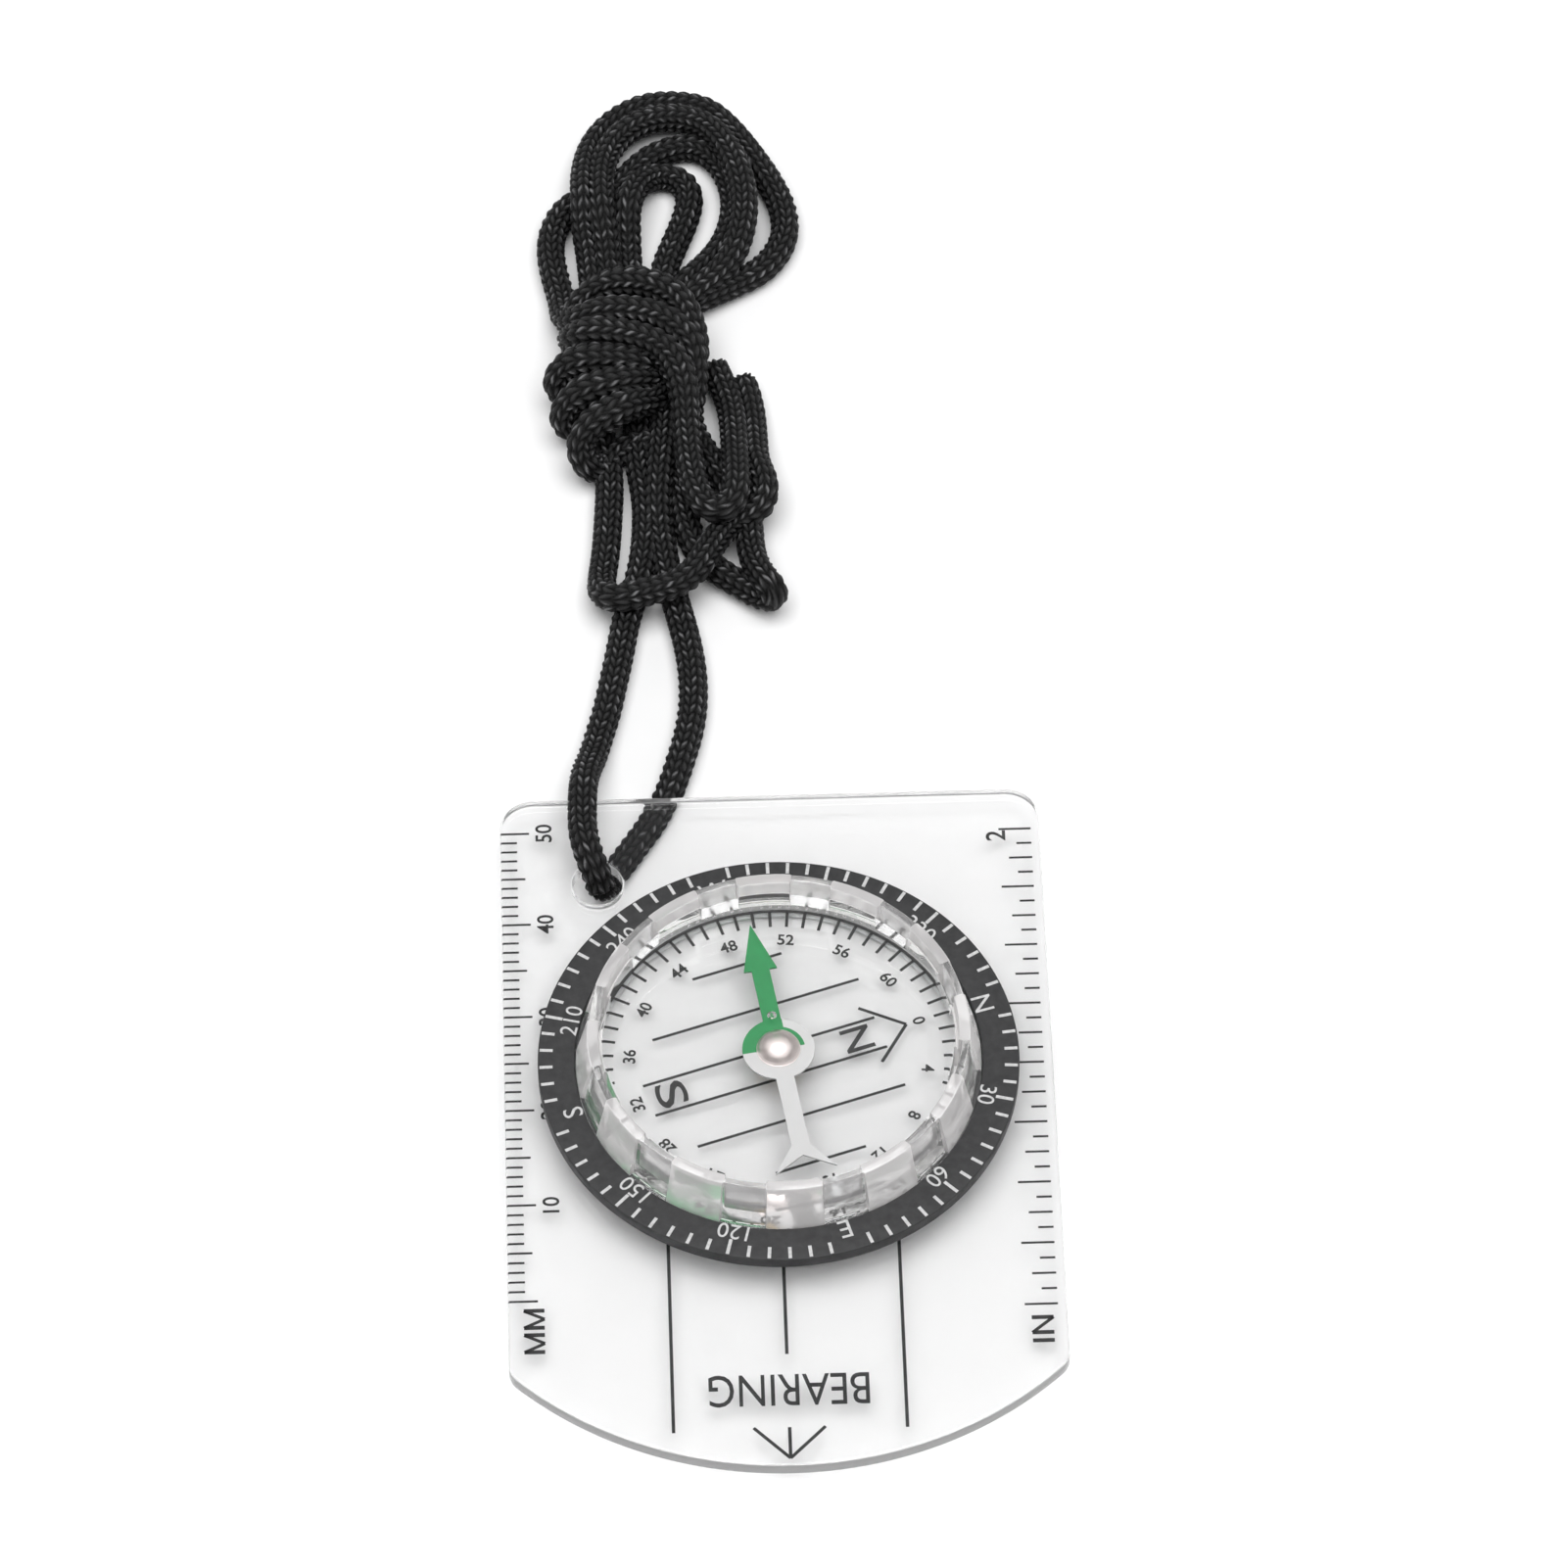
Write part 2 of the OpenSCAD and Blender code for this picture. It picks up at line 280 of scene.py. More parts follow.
def cord_fibre():
    """Black polyester yarn; its colour carries painted shade, darkest in the valleys of the knit, and
    painted glints on a few yarns.
    """
    material = principled("cord_fibre", Specular_IOR_Level=0.17)
    tree = material.node_tree
    knit = tree.nodes.new("ShaderNodeAttribute")
    knit.attribute_name = "painted_shade_and_glint"
    # Painted light: near black as painted shade in the valleys, dark grey on the stitch crowns and light
    # grey painted glints at the top of the ramp.
    tone = tree.nodes.new("ShaderNodeValToRGB")
    tone.color_ramp.elements[0].position = 0.15
    tone.color_ramp.elements[0].color = (0.0006, 0.0006, 0.0006, 1)
    tone.color_ramp.elements[1].position = 1.0
    tone.color_ramp.elements[1].color = (0.18, 0.18, 0.185, 1)
    crown = tone.color_ramp.elements.new(0.66)
    crown.color = (0.024, 0.024, 0.0245, 1)
    tree.links.new(knit.outputs["Fac"], tone.inputs["Fac"])
    tree.links.new(tone.outputs["Color"], tree.nodes["Principled BSDF"].inputs["Base Color"])
    bump(material, noise(material, 9000, 3), 0.00009, 1.0)
    spread(material, noise(material, 2500, 2), "Roughness", 0.28, 0.5)
    return material


def dial_black_plastic():
    """Charcoal moulded ring with a fine satin texture and slightly paler patches."""
    material = principled("dial_black_plastic", Specular_IOR_Level=0.4)
    cloud = noise(material, 1400, 6)
    spread(material, cloud, "Base Color", (0.018, 0.018, 0.019), (0.030, 0.030, 0.031))
    spread(material, noise(material, 600, 4), "Roughness", 0.42, 0.6)
    bump(material, noise(material, 6500, 3), 0.00002, 0.6)
    return material


def printed_ink(name, dark, pale, rough):
    """Screen-printed ink: slightly uneven in cover, with a dry surface."""
    material = principled(name)
    spread(material, noise(material, 3000, 4), "Base Color", dark, pale)
    spread(material, noise(material, 1500, 2), "Roughness", rough, rough + 0.2)
    return material


MIX_A, MIX_B, MIX_RESULT = 6, 7, 2  # the colour sockets of a Mix node
SHAFT_HALF = 0.85                   # just over half the width of the needle's shaft
BLADE_DISC_R = 3.2                  # the needle's round middle
RING_PAINT_R = 2.35                 # outside this the right part of the middle has no green


def math_node(tree, operation, first, second=0.0):
    """The result of a Math node on an output and either a number or another output."""
    node = tree.nodes.new("ShaderNodeMath")
    node.operation = operation
    tree.links.new(first, node.inputs[0])
    if isinstance(second, float):
        node.inputs[1].default_value = second
    else:
        tree.links.new(second, node.inputs[1])
    return node.outputs["Value"]


def green_part(tree):
    """1 on the needle's north half, but for the outer right part of its round middle, else 0."""
    place = tree.nodes.new("ShaderNodeTexCoord")
    from_axis = tree.nodes.new("ShaderNodeVectorMath")
    from_axis.operation = "SUBTRACT"
    from_axis.inputs[1].default_value = (AXIS_X * MM, AXIS_Y * MM, 0)
    tree.links.new(place.outputs["Object"], from_axis.inputs[0])

    def along(direction):
        node = tree.nodes.new("ShaderNodeVectorMath")
        node.operation = "DOT_PRODUCT"
        node.inputs[1].default_value = direction
        tree.links.new(from_axis.outputs["Vector"], node.inputs[0])
        return node.outputs["Value"]

    turn = math.radians(90 + NEEDLE_TURN)
    north = along((math.cos(turn), math.sin(turn), 0))
    right = along((math.sin(turn), -math.cos(turn), 0))
    reach = math_node(tree, "SQRT", math_node(tree, "ADD", math_node(tree, "MULTIPLY", north, north),
                                              math_node(tree, "MULTIPLY", right, right)))
    near = math_node(tree, "LESS_THAN", reach, RING_PAINT_R * MM)
    left = math_node(tree, "LESS_THAN", right, SHAFT_HALF * MM)
    tip = math_node(tree, "GREATER_THAN", north, BLADE_DISC_R * MM)
    inked = math_node(tree, "MAXIMUM", math_node(tree, "MAXIMUM", near, left), tip)
    return math_node(tree, "MULTIPLY", inked, math_node(tree, "GREATER_THAN", north, 0.0))


def needle_paint():
    """Green paint to the north and white to the south, slightly uneven."""
    material = principled("needle_two_tone")
    tree = material.node_tree
    paint = tree.nodes.new("ShaderNodeMix")
    paint.data_type = "RGBA"
    paint.inputs[MIX_A].default_value = (0.5, 0.5, 0.5, 1)
    green = tree.nodes.new("ShaderNodeValToRGB")
    green.color_ramp.elements[0].color = (0.002, 0.18, 0.045, 1)
    green.color_ramp.elements[1].color = (0.004, 0.23, 0.06, 1)
    cloud = noise(material, 1200, 3)
    tree.links.new(cloud, green.inputs["Fac"])
    tree.links.new(green_part(tree), paint.inputs["Factor"])
    tree.links.new(green.outputs["Color"], paint.inputs[MIX_B])
    tree.links.new(paint.outputs[MIX_RESULT], tree.nodes["Principled BSDF"].inputs["Base Color"])
    spread(material, cloud, "Roughness", 0.35, 0.5)
    return material


def metal(name, dark, pale, smooth, rough, grain):
    """Bare metal with light variation in tone and polish."""
    material = principled(name, Metallic=1.0)
    spread(material, noise(material, 900, 4), "Base Color", dark, pale)
    spread(material, noise(material, 2500, 3), "Roughness", smooth, rough)
    bump(material, noise(material, 7000, 2), grain, 0.4)
    return material


def plain_plastic(name, dark, pale, rough):
    """Satin moulded plastic or rubber with slight mottling."""
    material = principled(name)
    spread(material, noise(material, 1100, 4), "Base Color", dark, pale)
    spread(material, noise(material, 2000, 3), "Roughness", rough, rough + 0.15)
    bump(material, noise(material, 5000, 3), 0.00001, 0.5)
    return material


def synthetic_ruby():
    """The red stone of the bearing, slightly cloudy."""
    material = principled("jewel_red", IOR=1.77, Transmission_Weight=0.6)
    spread(material, noise(material, 2500, 2), "Base Color", (0.55, 0.05, 0.12), (0.7, 0.09, 0.18))
    spread(material, noise(material, 4000, 2), "Roughness", 0.03, 0.12)
    return material


acrylic = clear_plastic("clear_acrylic", (0.975, 0.975, 0.975), 1.49, 0.000004, (0.4, 0.4, 0.4))
cut_edge = hazy_plastic("cut_edge", (0.97, 0.97, 0.97), 0.7, 0.12, (0.7, 0.7, 0.7))
capsule_clear = clear_plastic("clear_capsule", (0.985, 0.985, 0.985), 1.48, 0.000002, (0.8, 0.8, 0.8))
moulded_wall = hazy_plastic("moulded_wall", (0.93, 0.92, 0.92), 0.85, 0.03, (0.8, 0.8, 0.8))
grip_block = hazy_plastic("grip_block", (0.93, 0.91, 0.91), 0.6, 0.08, (0.8, 0.8, 0.8))
cord_black = cord_fibre()
dial_black = dial_black_plastic()
ink_black = printed_ink("ink_black", (0.006, 0.006, 0.006), (0.018, 0.018, 0.018), 0.5)
ink_white = printed_ink("ink_white", (0.42, 0.42, 0.42), (0.58, 0.58, 0.58), 0.45)
needle_coat = needle_paint()
cap_polish = metal("cap_polish", (0.88, 0.79, 0.76), (0.97, 0.89, 0.87), 0.32, 0.38, 0.0000002)
brass = metal("brass_turned", (0.55, 0.40, 0.18), (0.72, 0.55, 0.27), 0.2, 0.35, 0.000004)
steel = metal("steel_ground", (0.50, 0.50, 0.52), (0.66, 0.66, 0.68), 0.22, 0.35, 0.000003)
jewel_red = synthetic_ruby()
seal_rubber = plain_plastic("seal_silicone", (0.62, 0.64, 0.64), (0.72, 0.74, 0.74), 0.4)
white_plastic = plain_plastic("white_acetal", (0.72, 0.72, 0.71), (0.82, 0.82, 0.81), 0.4)


# ---------------------------------------------------------------- camera, floor and light

CAMERA_ROLL = -0.123                # degrees; the photo is a touch out of level


def make_camera():
    """A long lens from 54 degrees above, a hair left of square, as the product photo was taken."""
    data = bpy.data.cameras.new("camera")
    data.sensor_width = 36.0
    data.lens = 214.93
    data.clip_start, data.clip_end = 0.05, 20.0
    camera = bpy.data.objects.new("camera", data)
    bpy.context.scene.collection.objects.link(camera)
    camera.location = Vector((-13.290, -459.216, 687.048)) * MM
    target = Vector((1.477, 37.707, 1.7)) * MM
    camera.rotation_euler = (target - camera.location).to_track_quat("-Z", "Y").to_euler()
    camera.rotation_euler.rotate_axis("Z", math.radians(CAMERA_ROLL))
    bpy.context.scene.camera = camera


def floor_paper():
    """Smooth white backdrop paper with a very faint grain."""
    material = principled("floor_paper", Roughness=0.9, Specular_IOR_Level=0.0)
    grain = noise(material, 400, 3)
    spread(material, grain, "Base Color", (0.855, 0.855, 0.855), (0.865, 0.865, 0.865))
    return material


def make_floor():
    """One pale sheet under the object; its half width is in metres."""
    half = 1.6
    corners = [(-half, -half, 0), (half, -half, 0), (half, half, 0), (-half, half, 0)]
    mesh = bpy.data.meshes.new("floor")
    mesh.from_pydata(corners, [], [(0, 1, 2, 3)])
    mesh.materials.append(floor_paper())
    floor = bpy.data.objects.new("floor", mesh)
    bpy.context.scene.collection.objects.link(floor)


def area_light(name, place, target, width, depth, watts):
    """A soft rectangular light at a place, turned towards its target; all in metres."""
    data = bpy.data.lights.new(name, "AREA")
    data.shape = "RECTANGLE"
    data.size, data.size_y = width, depth
    data.energy = watts
    light = bpy.data.objects.new(name, data)
    light.location = place
    light.rotation_euler = (Vector(target) - Vector(place)).to_track_quat("-Z", "Y").to_euler()
    bpy.context.scene.collection.objects.link(light)


def make_light():
    """A white tent: bright walls low down, a dim ceiling and one large softbox above."""
    world = bpy.data.worlds.new("studio")
    world.use_nodes = True
    tree = world.node_tree
    place = tree.nodes.new("ShaderNodeTexCoord")
    height = tree.nodes.new("ShaderNodeSeparateXYZ")
    walls = tree.nodes.new("ShaderNodeValToRGB")
    walls.color_ramp.elements[0].position = 0.45
    walls.color_ramp.elements[0].color = (0.85, 0.85, 0.85, 1)
    walls.color_ramp.elements[1].position = 0.7
    walls.color_ramp.elements[1].color = (0.16, 0.16, 0.165, 1)
    tree.links.new(place.outputs["Generated"], height.inputs["Vector"])
    tree.links.new(height.outputs["Z"], walls.inputs["Fac"])
    tree.links.new(walls.outputs["Color"], tree.nodes["Background"].inputs["Color"])
    tree.nodes["Background"].inputs["Strength"].default_value = 1.0
    bpy.context.scene.world = world
    area_light("softbox_top", (0.0, -0.05, 0.85), (0, 0.04, 0), 0.9, 0.8, 9.0)


make_camera()
make_floor()
make_light()


# ---------------------------------------------------------------- lanyard cord

CORD_D = 2.5                        # diameter of the knitted cord
KNIT_WALES = 6                      # columns of V-shaped stitches round the cord
KNIT_PITCH = 1.05                   # length of one stitch along the cord
KNIT_HEIGHT = 0.36                  # how far a stitch stands up out of the valley round it
RING_STEP = 0.15                    # spacing of the mesh rings along the cord
CORD_REST = 0.02                    # the cord lies pressed flat where it meets the table
WRAP_Z, WRAP_SWELL = 5.0, 0.2       # wrapped over the bundle, from this height up, the knit spreads
RING_SIDES = 48                     # mesh points round the cord
SOFTEN_OVER = 1.6                   # the line's bends are evened out over this length
STITCH_LEAN = 0.75                  # how far the leg of a stitch leans along the cord, in pitches

# x, y, height of the cord's middle, height of its section: from the hole to the bundle.
FRONT_STRAND = [
    (-15.3, 26.1, 2.5, 1.8), (-15.5, 26.5, 3.6, 2.1), (-16, 27.4, 4.5, 2.4), (-16.5, 29, 4.9, 2.5),
    (-16.8, 31.2, 4.6, 2.5), (-16.8, 33.4, 4.5, 2.5), (-16.7, 35.8, 4.5, 2.5), (-16.4, 38.4, 3.4, 2.5),
    (-15.8, 41, 2, 2.5), (-15.2, 43.6, 1.4, 2.5), (-14.4, 46.6, 1.3, 2.5), (-13.7, 50, 1.3, 2.5),
    (-13, 53.6, 1.3, 2.5), (-12.4, 57, 1.3, 2.5)]
REAR_STRAND = [
    (-15.3, 26.1, 2.5, 1.8), (-15.2, 26.5, 1.6, 1.6), (-14.6, 27.6, 0.95, 1.5), (-13.4, 29.4, 0.85, 1.5),
    (-12, 31.6, 0.85, 1.5), (-10.6, 33.8, 0.85, 1.5), (-9.5, 36.2, 0.9, 1.6), (-8.6, 38.4, 1.1, 2.1),
    (-7.8, 41, 1.3, 2.5), (-7, 44, 1.3, 2.5), (-6.5, 47.4, 1.3, 2.5), (-6.5, 51, 1.3, 2.5),
    (-6.9, 54.4, 1.3, 2.5), (-7.4, 57, 1.3, 2.5)]

# x, y, height: the same two strands on through the folded and knotted bundle to their cut ends.
FRONT_BUNDLE = [
    (-11.5, 60.3, 1.3), (-10.8, 63.2, 1.3), (-10.4, 66.6, 1.3), (-10.3, 70.7, 1.3), (-10.8, 75.1, 1.3),
    (-10.9, 79.5, 1.3), (-10.2, 83.6, 1.3), (-9.5, 88.3, 1.3), (-10.3, 92.8, 1.3), (-11.1, 96.6, 1.3),
    (-11.3, 99.8, 1.4), (-11.3, 102.2, 2.4), (-11.2, 104.4, 3.4), (-10.4, 107.3, 2.6),
    (-8.9, 109.3, 1.5), (-7.2, 109.5, 1.3), (-5.8, 108.6, 1.3), (-5.3, 106.8, 1.3), (-5.8, 104.2, 1.3),
    (-6.8, 101.4, 1.3), (-7.8, 98.5, 1.4), (-8.3, 95.5, 1.6), (-8.3, 91.8, 1.8), (-8.4, 87.7, 2.6),
    (-9, 84.3, 3.9), (-10.6, 83.6, 5.6), (-13, 83.6, 6.3), (-15.5, 83.7, 6.2), (-17.4, 83.8, 5.2),
    (-18.3, 83.4, 3.8), (-18.1, 83.2, 2.3), (-17.1, 83.3, 1.4), (-15.4, 84, 1.3), (-14.3, 86.3, 1.3),
    (-14.2, 90.2, 1.3), (-14.5, 94.1, 1.3), (-14.7, 96.9, 1.4), (-14.9, 99.9, 1.5), (-15.3, 102.9, 2.2),
    (-15.3, 105.1, 3.4), (-15.2, 109.2, 2.4), (-14.4, 113.3, 1.4), (-12.6, 116.1, 1.3),
    (-9.6, 118.1, 1.3), (-6.5, 118.4, 1.3), (-3.5, 117.6, 1.3), (-1.2, 115, 1.3), (0.7, 111.8, 1.3),
    (2.3, 108.6, 1.3), (3.4, 105.4, 1.3), (3.6, 102.3, 1.3), (2.6, 99.6, 1.3), (0.9, 97.6, 1.3),
    (-1.3, 96.3, 1.3), (-4, 94.7, 1.6), (-6.2, 93.7, 1.4), (-9.3, 92.4, 1.3), (-12.7, 91, 1.3),
    (-15.6, 89.7, 1.8), (-16.9, 88.4, 3.2), (-16.4, 87.5, 5), (-14.4, 86.8, 6.3), (-11.6, 86.1, 6.6),
    (-8.9, 85.1, 6.4), (-7.3, 83.3, 6), (-6.5, 80.6, 5.6), (-6.4, 78.4, 4.8), (-6.3, 75.9, 4.2),
    (-6.1, 72.7, 4.2), (-5.6, 69.5, 4.4), (-4.7, 67.4, 4.6), (-3.3, 66.7, 4.8), (-2.2, 67.8, 5),
    (-1.9, 69.8, 5), (-1.9, 73, 4.2), (-1.9, 76.8, 3), (-2.1, 80.7, 2), (-2.8, 83.9, 1.5),
    (-3.5, 86.2, 1.3)]
REAR_BUNDLE = [
    (-8.1, 60.4, 1.3), (-8.6, 63.2, 1.3), (-9, 66.7, 1.4), (-9.1, 70, 2.2), (-8.8, 73.8, 2.6),
    (-8.4, 78.1, 2.4), (-8.3, 81.4, 2.6), (-9, 82.7, 3.6), (-10.6, 81.7, 5.4), (-13, 80.7, 6.4),
    (-15.5, 80.1, 6.2), (-17.2, 79.8, 4.9), (-17.8, 79.2, 3.2), (-17.3, 79.2, 1.8), (-16, 79.6, 1.3),
    (-14.5, 82, 1.3), (-13.4, 86.1, 1.3), (-12.7, 90.7, 1.3), (-12.8, 95, 1.3), (-13.1, 98.2, 1.6),
    (-13.3, 100.9, 2.6), (-13.7, 103.6, 3.8), (-13.8, 106.9, 3.4), (-13.4, 110.4, 2.6),
    (-12.2, 113.2, 2.4), (-10.3, 115, 2.4), (-8.2, 115.8, 2.4), (-5.9, 115.8, 2.4), (-3.4, 114.5, 2.6),
    (-1.6, 111.4, 3.2), (-0.5, 107.5, 3.6), (-0.2, 103.9, 3.6), (-0.7, 100.5, 3.4), (-1.8, 97.7, 3),
    (-3.7, 95.6, 2.6), (-5.7, 94.1, 2.2), (-7, 92.1, 1.4), (-7.6, 88.6, 1.4), (-8.1, 84.5, 2.2),
    (-9.2, 80.5, 4), (-11.1, 79, 5.6), (-13.3, 77.5, 6.2), (-15.4, 76.3, 5.4), (-16.3, 75.2, 3.9),
    (-15.4, 73.9, 2.2), (-14.1, 74.9, 1.3), (-12.2, 77, 1.3), (-9.9, 77.6, 1.3), (-7.9, 75.4, 1.3),
    (-7.1, 71.7, 1.3), (-6.6, 68.1, 1.3), (-5.7, 64.8, 1.4), (-4.1, 62.5, 1.5), (-1.9, 60.7, 1.5),
    (0, 59.2, 1.6), (1.2, 58.2, 2.4), (1.3, 58.3, 3.6), (0.3, 59.9, 3.4), (-0.5, 62.5, 2.6),
    (-0.8, 65.1, 2.2), (-0.9, 68.1, 1.6), (-2.2, 71.1, 1.3), (-3.3, 73.4, 1.3), (-4.3, 75.6, 1.3),
    (-5.4, 77.8, 1.3), (-6.1, 79.8, 2.2), (-5.5, 82.1, 3.8), (-5.5, 84.5, 5.2), (-6.4, 86.5, 6),
    (-8.8, 88.4, 6.4), (-12, 89.3, 6.3), (-14.9, 89.7, 5.4), (-16.5, 90.3, 3.8), (-17.4, 92, 2.2),
    (-17.6, 94.6, 1.4), (-18.2, 97.5, 1.3), (-18.6, 100.9, 1.3), (-18.1, 103.8, 1.3),
    (-16.7, 106.1, 1.3), (-14.6, 107.2, 1.3), (-12.3, 108.1, 1.3), (-10.6, 110.2, 1.3),
    (-9, 111.8, 1.3), (-7, 112.8, 1.3), (-4.6, 113, 1.3), (-2.4, 111.1, 1.3), (-1.2, 107.7, 1.3),
    (-1.2, 104.4, 1.3), (-2.2, 101.1, 1.3), (-4, 98.5, 1.3), (-6, 96.3, 1.3), (-7, 92.7, 1.3),
    (-6.3, 88.6, 2), (-5.7, 85.2, 3.2), (-5.2, 85.7, 4.6), (-5.7, 88.4, 5.4), (-7.1, 91.1, 6),
    (-9.7, 92.6, 6.2), (-12.9, 93.2, 5.6), (-15.3, 92.8, 4.2), (-16.5, 91.5, 2.8), (-16.6, 89.6, 1.4),
    (-16.1, 85.6, 1.3), (-15.1, 80.9, 1.3), (-13.9, 77.2, 1.3), (-13.6, 72.9, 1.3), (-13.8, 68.7, 1.3),
    (-14.1, 64.9, 1.3), (-14.5, 61.8, 1.5), (-14.5, 59.2, 2.6), (-13.4, 57.8, 3.6), (-11.8, 57.9, 3.8),
    (-9.8, 58.4, 3.9), (-7.7, 59.1, 3.9), (-6.1, 60.4, 3.9), (-5.1, 62.3, 3.6), (-4.1, 64.5, 3),
    (-2.9, 66.5, 2.6), (-1.3, 67.5, 2.8), (0.1, 68.1, 3.2), (0.7, 69.3, 3.5), (0.6, 71.3, 3.5),
    (0, 73.8, 2.8), (-0.1, 77.1, 1.9), (-0.2, 80.3, 1.4), (-0.6, 83.1, 1.3), (-1, 84.5, 1.3)]


def even_rows(rows, step):
    """Rows at an even spacing along the line."""
    run = np.concatenate([[0], np.cumsum(np.linalg.norm(np.diff(rows[:, :3], axis=0), axis=1))])
    count = int(round(run[-1] / step))
    at = np.linspace(0, run[-1], count + 1)
    return np.stack([np.interp(at, run, rows[:, k]) for k in range(rows.shape[1])], axis=1)


def smooth_path(points, step):
    """One smooth curve through the points, as evenly spaced rows of x, y, z and section height."""
    points = np.array([tuple(p) + (CORD_D,) * (4 - len(p)) for p in points])
    padded = np.vstack([2 * points[0] - points[1], points, 2 * points[-1] - points[-2]])
    dense = []
    for p0, p1, p2, p3 in zip(padded, padded[1:], padded[2:], padded[3:]):
        for t in np.linspace(0, 1, 24, endpoint=False):
            dense.append(0.5 * (2 * p1 + (p2 - p0) * t + (2 * p0 - 5 * p1 + 4 * p2 - p3) * t ** 2
                                + (3 * p1 - p0 - 3 * p2 + p3) * t ** 3))
    rows = np.array(dense + [points[-1]])
    width = int(SOFTEN_OVER / step)
    kernel = np.hanning(2 * width + 1)
    kernel /= kernel.sum()
    for _ in range(2):
        rows = even_rows(rows, step)
        padded = np.pad(rows, ((width, width), (0, 0)), mode="reflect", reflect_type="odd")
        rows = np.stack([np.convolve(column, kernel, "valid") for column in padded.T], axis=1)
    return even_rows(rows, step)


def knit_pattern(around, along):
    """Height of the V-shaped stitches, 0 in the valleys and 1 on each leg, and a colour mark of painted
    shade in the valleys and painted glints on some legs.
    """
    legs = around * 2 * KNIT_WALES
    leg = np.floor(legs)
    side = legs - leg
    lean = np.where(leg % 2 == 0, 1.0, -1.0)
    rows = along / KNIT_PITCH + lean * (side - 0.5) * STITCH_LEAN
    across = np.sqrt(np.clip(1 - (2 * side - 1) ** 2, 0, 1))
    beat = np.abs(np.sin(math.pi * rows))
    # A fixed number from 0 to 1 for each leg, so that only some of them get a painted glint.
    uneven = np.sin(leg * 12.9898 + np.floor(rows) * 78.233) * 43758.5453
    painted_glint = np.clip(beat * 2.5 - 1.3, 0, 1) * (uneven - np.floor(uneven)) ** 2
    height = across ** 0.8 * beat ** 0.9
    return height, 0.7 * height + 0.3 * painted_glint * (across > 0.8)


def cord_frames(middle):
    """At each ring the directions ahead, sideways and up, twisting as little as they can."""
    ahead = np.gradient(middle, axis=0)
    ahead /= np.linalg.norm(ahead, axis=1, keepdims=True)
    side = np.cross(ahead[0], (0, 0, 1.0))
    side /= np.linalg.norm(side)
    sides = []
    for direction in ahead:
        side = side - direction * side.dot(direction)
        side /= np.linalg.norm(side)
        sides.append(side)
    sides = np.array(sides)
    return ahead, sides, np.cross(sides, ahead)


def flattened(offset, ahead, height):
    """The sections squeezed from above to the given heights."""
    lift = np.array((0, 0, 1.0)) - ahead * ahead[:, 2:3]
    level = np.linalg.norm(lift, axis=1, keepdims=True)
    lift /= np.maximum(level, 1e-6)
    squeeze = (height / CORD_D - 1) * level[:, 0]
    rise = (offset * lift[:, None, :]).sum(axis=2, keepdims=True)
    return offset + rise * lift[:, None, :] * squeeze[:, None, None]


def tube_faces(rings):
    """Four-sided faces between the rings and a fan of triangles to the tip at either end."""
    ring = np.arange(RING_SIDES)
    start = np.arange(rings - 1)[:, None] * RING_SIDES
    quads = np.stack([start + ring, start + (ring + 1) % RING_SIDES,
                      start + RING_SIDES + (ring + 1) % RING_SIDES, start + RING_SIDES + ring],
                     axis=2).reshape(-1, 4)
    end, tip = (rings - 1) * RING_SIDES, rings * RING_SIDES
    faces = quads.tolist()
    faces += [(tip, (k + 1) % RING_SIDES, k) for k in range(RING_SIDES)]
    faces += [(tip + 1, end + k, end + (k + 1) % RING_SIDES) for k in range(RING_SIDES)]
    return faces


def cord_tube(name, points, material):
    """The knitted cord: a closed tube along the route, its stitches raised in the mesh itself."""
    rows = smooth_path(points, RING_STEP)
    middle, height = rows[:, :3], rows[:, 3]
    ahead, sides, ups = cord_frames(middle)
    around = np.arange(RING_SIDES) / RING_SIDES
    c, s = np.cos(2 * math.pi * around), np.sin(2 * math.pi * around)
    spokes = sides[:, None, :] * c[None, :, None] + ups[:, None, :] * s[None, :, None]
    along = np.arange(len(rows)) * RING_STEP
    knit, painted_light_mark = knit_pattern(around[None, :], along[:, None])
    swell = 1 + WRAP_SWELL * np.clip(middle[:, 2:3] - WRAP_Z, 0, 1)
    radius = (CORD_D / 2 + KNIT_HEIGHT * (knit - 0.62)) * swell
    offset = flattened(spokes * radius[:, :, None], ahead, height)
    verts = (middle[:, None, :] + offset).reshape(-1, 3)
    verts[:, 2] = np.maximum(verts[:, 2], CORD_REST)
    verts = np.vstack([verts, middle[0] - ahead[0] * 0.1, middle[-1] + ahead[-1] * 0.35])
    piece = make_object(name, verts.tolist(), tube_faces(len(rows)), material, sharp_above=180)
    # The colour mark: painted shade in the knit's valleys and painted glints on some stitch legs.
    mark = piece.data.attributes.new("painted_shade_and_glint", "FLOAT", "POINT")
    mark.data.foreach_set("value", np.concatenate([painted_light_mark.reshape(-1), [0.2, 0.2]]))
    return piece, middle


def add_cord(name, points, nodes):
    """One strand from the hole to its cut end, standing in for the CAD strands that it hides."""
    piece, middle = cord_tube(name, points, cord_black)
    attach(piece, "plate")
    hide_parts(*nodes)


add_cord("lanyard_front_cord", FRONT_STRAND + FRONT_BUNDLE,
         ["lanyard_front_strand", "lanyard_left_tail", "lanyard_hank"])
add_cord("lanyard_rear_cord", REAR_STRAND + REAR_BUNDLE,
         ["lanyard_rear_strand", "lanyard_right_tail", "lanyard_joint_knot"])


# ---------------------------------------------------------------- printing

INK = 0.012                         # thickness of a printed layer


def empty_print():
    return {"verts": [], "faces": []}


